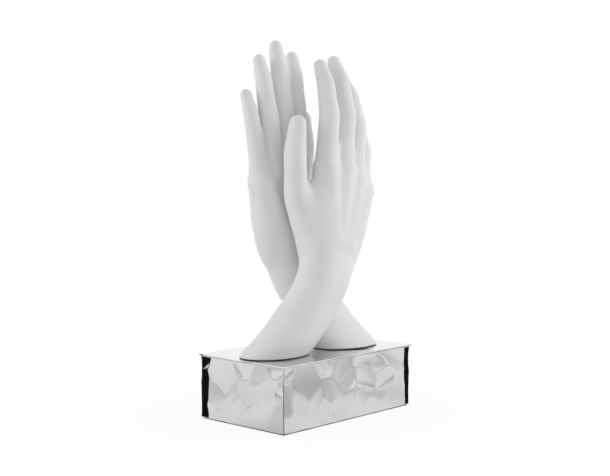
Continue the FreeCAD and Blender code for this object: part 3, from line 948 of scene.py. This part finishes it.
def dressed(name, group, values, relief, distance, metallic=0.0, specular=0.5):
    """A material whose colour, roughness and relief come from a group with its own values."""
    material, tree, shader = new_material(name)
    finish = tree.nodes.new("ShaderNodeGroup")
    finish.node_tree = group
    for label, value in values.items():
        finish.inputs[label].default_value = value
    tree.links.new(finish.outputs["Color"], shader.inputs["Base Color"])
    tree.links.new(finish.outputs["Roughness"], shader.inputs["Roughness"])
    bump_node = add_node(tree, "Bump", Strength=relief, Distance=distance, Height=finish.outputs["Height"])
    tree.links.new(bump_node.outputs["Normal"], shader.inputs["Normal"])
    shader.inputs["Metallic"].default_value = metallic
    shader.inputs["Specular IOR Level"].default_value = specular
    return material


def grain(name, scale, dark, light, smooth, rough, relief, stretch=(1, 1, 1), metallic=0.0, specular=0.5):
    """A plain finish: the grain group between two colours and two roughnesses."""
    values = {"Scale": scale, "Stretch": stretch, "Dark": dark, "Light": light,
              "Smooth": smooth, "Rough": rough}
    return dressed(name, GRAIN, values, relief, GRAIN_RELIEF_HEIGHT, metallic, specular)


def polish(name, dull, bright, smooth, rough, wave_scale, relief):
    """A mirror finish: the polish group between two greys and two roughnesses."""
    values = {"Dull": tone(dull), "Bright": tone(bright), "Smooth": smooth, "Rough": rough,
              "Wave Scale": wave_scale}
    return dressed(name, POLISH, values, relief, WAVE_RELIEF_HEIGHT, metallic=1.0)


CERAMIC = grain("white_ceramic", scale=28.0, dark=tone(0.795, 0.006), light=tone(0.825, 0.006),
                smooth=0.42, rough=0.56, relief=0.05, specular=0.4)
MIRROR = polish("mirror_metal", dull=0.76, bright=0.80, smooth=0.015, rough=0.04, wave_scale=26.0, relief=1.4)
HAMMERED = polish("hammered_mirror_metal", dull=0.63, bright=0.68, smooth=0.02, rough=0.05,
                  wave_scale=30.0, relief=0.10)
RUBBER = grain("black_rubber", scale=300.0, dark=tone(0.015), light=tone(0.035),
               smooth=0.5, rough=0.7, relief=0.2)
FELT = grain("black_felt", scale=350.0, dark=tone(0.010), light=tone(0.035),
             smooth=0.9, rough=1.0, relief=0.8)
WOOD = grain("sawn_wood", scale=60.0, dark=(0.40, 0.27, 0.15, 1), light=(0.60, 0.45, 0.28, 1),
             smooth=0.6, rough=0.8, relief=0.4, stretch=(0.12, 1, 1))
BOARD = grain("fibre_board", scale=120.0, dark=(0.14, 0.09, 0.055, 1), light=(0.24, 0.16, 0.10, 1),
              smooth=0.7, rough=0.85, relief=0.3)
PLASTER = grain("cast_plaster", scale=60.0, dark=tone(0.64, 0.03), light=tone(0.74, 0.03),
                smooth=0.8, rough=0.95, relief=0.3)
ZINC = grain("zinc_plate", scale=90.0, dark=tone(0.50), light=tone(0.64),
             smooth=0.3, rough=0.42, relief=0.1, metallic=1.0)

FINISHES = {
    "top_plate": MIRROR, "plinth_core": WOOD, "base_board": BOARD, "felt_pad": FELT,
    "right_gasket": RUBBER, "left_gasket": RUBBER,
    "right_wrist_plug": PLASTER, "left_wrist_plug": PLASTER,
}


def finish_nodes():
    """Each carried-over node gets its own finish, and what is not listed is zinc-plated steel."""
    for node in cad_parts:
        solid = bpy.data.objects[node]
        solid.data.materials.clear()
        solid.data.materials.append(FINISHES.get(node, ZINC))


# Stage: floor, surroundings, lamps and camera, in metres

FLOOR_REACH = 4.0
FLOOR_TONE = 0.90
FLOOR_ROUGHNESS = 0.95
FLOOR_WHITE_SHARES = (0.92, 1.0)
FLOOR_WHITE_SPAN = (0.08, 0.24)
FLOOR_FOLDS = 9.0
TENT_FOLDS = 4.0
TENT_DIM = 0.62
TENT_FOLD_SPAN = (0.30, 0.64)
BACKDROP = (0.736, 0.677, 0.10)
BACKDROP_EDGE = (0.80, 0.90)
WORLD_LEVEL = 0.58
CARD_LIFT = 0.0005
CARD_TONE = 0.012
CARDS = {
    "left_card": ((-0.076, 0.050), (-0.076, 0.036), (-0.384, 0.430), (-0.076, 0.600)),
    "right_card": ((0.069, -0.046), (0.486, -0.322), (0.600, -0.046)),
}
LAMP_TARGET = Vector((0, 0, 0.16))
LAMP_SIZE = 0.8
LAMPS = {"left_lamp": ((-1.10, 0.68, 0.60), 5), "right_lamp": ((0.92, -0.85, 0.70), 7)}    # place, power
CAMERA_PLACE = (-0.62742, -0.57344, 0.18203)
CAMERA_AZIMUTH = -47.41
CAMERA_PITCH = 2.95
LENS = 63.6
SENSOR = 36.0


def studio_group():
    """Brightness of the white tent that the metal reflects: soft folds, and a plain white backdrop."""
    group, given, put_out = new_group(
        "studio", [("Place", "Vector", (0, 0, 1)), ("Folds", "Float", TENT_FOLDS)], [("Level", "Float")])
    folds = noise(group, given["Place"], given["Folds"], 0.0)
    towards = worked_out(group, "VectorMath", "DOT_PRODUCT", given["Place"], BACKDROP)
    tent = between(group, folds, TENT_DIM, 1.0, *TENT_FOLD_SPAN)
    sheet = between(group, towards, 0.0, 1.0, *BACKDROP_EDGE)
    group.links.new(worked_out(group, "Math", "MAXIMUM", tent, sheet), put_out["Level"])
    return group


STUDIO = studio_group()


def seen_level(tree, place, folds):
    """1 for the camera, the tent's brightness for reflections, and whether it is one of the two."""
    path = add_node(tree, "LightPath").outputs
    studio = tree.nodes.new("ShaderNodeGroup")
    studio.node_tree = STUDIO
    tree.links.new(place, studio.inputs["Place"])
    studio.inputs["Folds"].default_value = folds
    level = blend(tree, path["Is Camera Ray"], studio.outputs["Level"], 1.0, "FLOAT")
    return level, worked_out(tree, "Math", "MAXIMUM", path["Is Camera Ray"], path["Is Glossy Ray"])


def matt_material(name, level, roughness):
    """A grey without gloss."""
    material, tree, shader = new_material(name)
    shader.inputs["Base Color"].default_value = tone(level)
    shader.inputs["Roughness"].default_value = roughness
    shader.inputs["Specular IOR Level"].default_value = 0.0
    return material, tree, shader


def flat_sheet(name, corners, height, material):
    """One level face through its corners."""
    mesh = bpy.data.meshes.new(name)
    mesh.from_pydata([(x, y, height) for x, y in corners], [], [tuple(range(len(corners)))])
    mesh.materials.append(material)
    sheet = bpy.data.objects.new(name, mesh)
    bpy.context.scene.collection.objects.link(sheet)
    return sheet


def stage_floor():
    """A pale floor that keeps the object's shadow and runs out to plain white."""
    material, tree, shader = matt_material("pale_floor", FLOOR_TONE, FLOOR_ROUGHNESS)
    corners = [(x * FLOOR_REACH, y * FLOOR_REACH) for x, y in ((-1, -1), (1, -1), (1, 1), (-1, 1))]
    floor = flat_sheet("floor", corners, 0, material)
    coords = add_node(tree, "TexCoord").outputs["Object"]
    distance = worked_out(tree, "VectorMath", "LENGTH", coords)
    white_share = between(tree, distance, *FLOOR_WHITE_SHARES, *FLOOR_WHITE_SPAN)
    level, seen = seen_level(tree, coords, FLOOR_FOLDS)
    glow = add_node(tree, "Emission", Strength=level).outputs[0]
    share = worked_out(tree, "Math", "MULTIPLY", white_share, seen)
    both = add_node(tree, "MixShader")
    for socket, source in zip(both.inputs, (share, shader.outputs[0], glow)):
        plug(tree, socket, source)
    tree.links.new(both.outputs[0], tree.nodes["Material Output"].inputs["Surface"])
    floor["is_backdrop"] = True


def dark_card(name, corners):
    """A black card that lies on the floor beside the plinth, for reflections only."""
    material = matt_material(name, CARD_TONE, 1.0)[0]
    card = flat_sheet(name, corners, CARD_LIFT, material)
    card.visible_camera = False
    card.visible_diffuse = False
    card.visible_shadow = False
    card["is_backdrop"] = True


def studio_world():
    """White to the camera, the studio to reflections, and a plain soft level on the object."""
    world = bpy.data.worlds.new("studio")
    bpy.context.scene.world = world
    world.use_nodes = True
    tree = world.node_tree
    direction = add_node(tree, "TexCoord").outputs["Generated"]
    level, seen = seen_level(tree, direction, TENT_FOLDS)
    background = tree.nodes["Background"].inputs
    tree.links.new(blend(tree, seen, WORLD_LEVEL, level, "FLOAT"), background["Strength"])
    background["Color"].default_value = tone(1.0)


def area_lamp(name, place, power):
    """A round soft lamp turned to the hands, which the metal doesn't show."""
    lamp = bpy.data.lights.new(name, "AREA")
    lamp.shape = "DISK"
    lamp.size = LAMP_SIZE
    lamp.energy = power
    holder = bpy.data.objects.new(name, lamp)
    holder.location = place
    holder.rotation_euler = (LAMP_TARGET - Vector(place)).to_track_quat("-Z", "Y").to_euler()
    holder.visible_glossy = False
    bpy.context.scene.collection.objects.link(holder)


def photo_camera():
    """The camera at the photograph's viewing angle."""
    data = bpy.data.cameras.new("photo_camera")
    data.sensor_width = SENSOR
    data.lens = LENS
    camera = bpy.data.objects.new("photo_camera", data)
    azimuth, pitch = math.radians(CAMERA_AZIMUTH), math.radians(CAMERA_PITCH)
    level = math.cos(pitch)
    ahead = Vector((-math.sin(azimuth) * level, math.cos(azimuth) * level, -math.sin(pitch)))
    camera.location = CAMERA_PLACE
    camera.rotation_euler = ahead.to_track_quat("-Z", "Y").to_euler()
    bpy.context.scene.collection.objects.link(camera)
    bpy.context.scene.camera = camera


hands()
panels()
finish_nodes()
stage_floor()
for card_name, card_corners in CARDS.items():
    dark_card(card_name, card_corners)
studio_world()
for lamp_name, (lamp_place, lamp_power) in LAMPS.items():
    area_lamp(lamp_name, lamp_place, lamp_power)
photo_camera()
bpy.context.scene.view_settings.view_transform = "Standard"

boxes = {"cad": CAD_BOX, "visual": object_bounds()}
{name: [list(map(float, corner)) for corner in box] for name, box in boxes.items()}
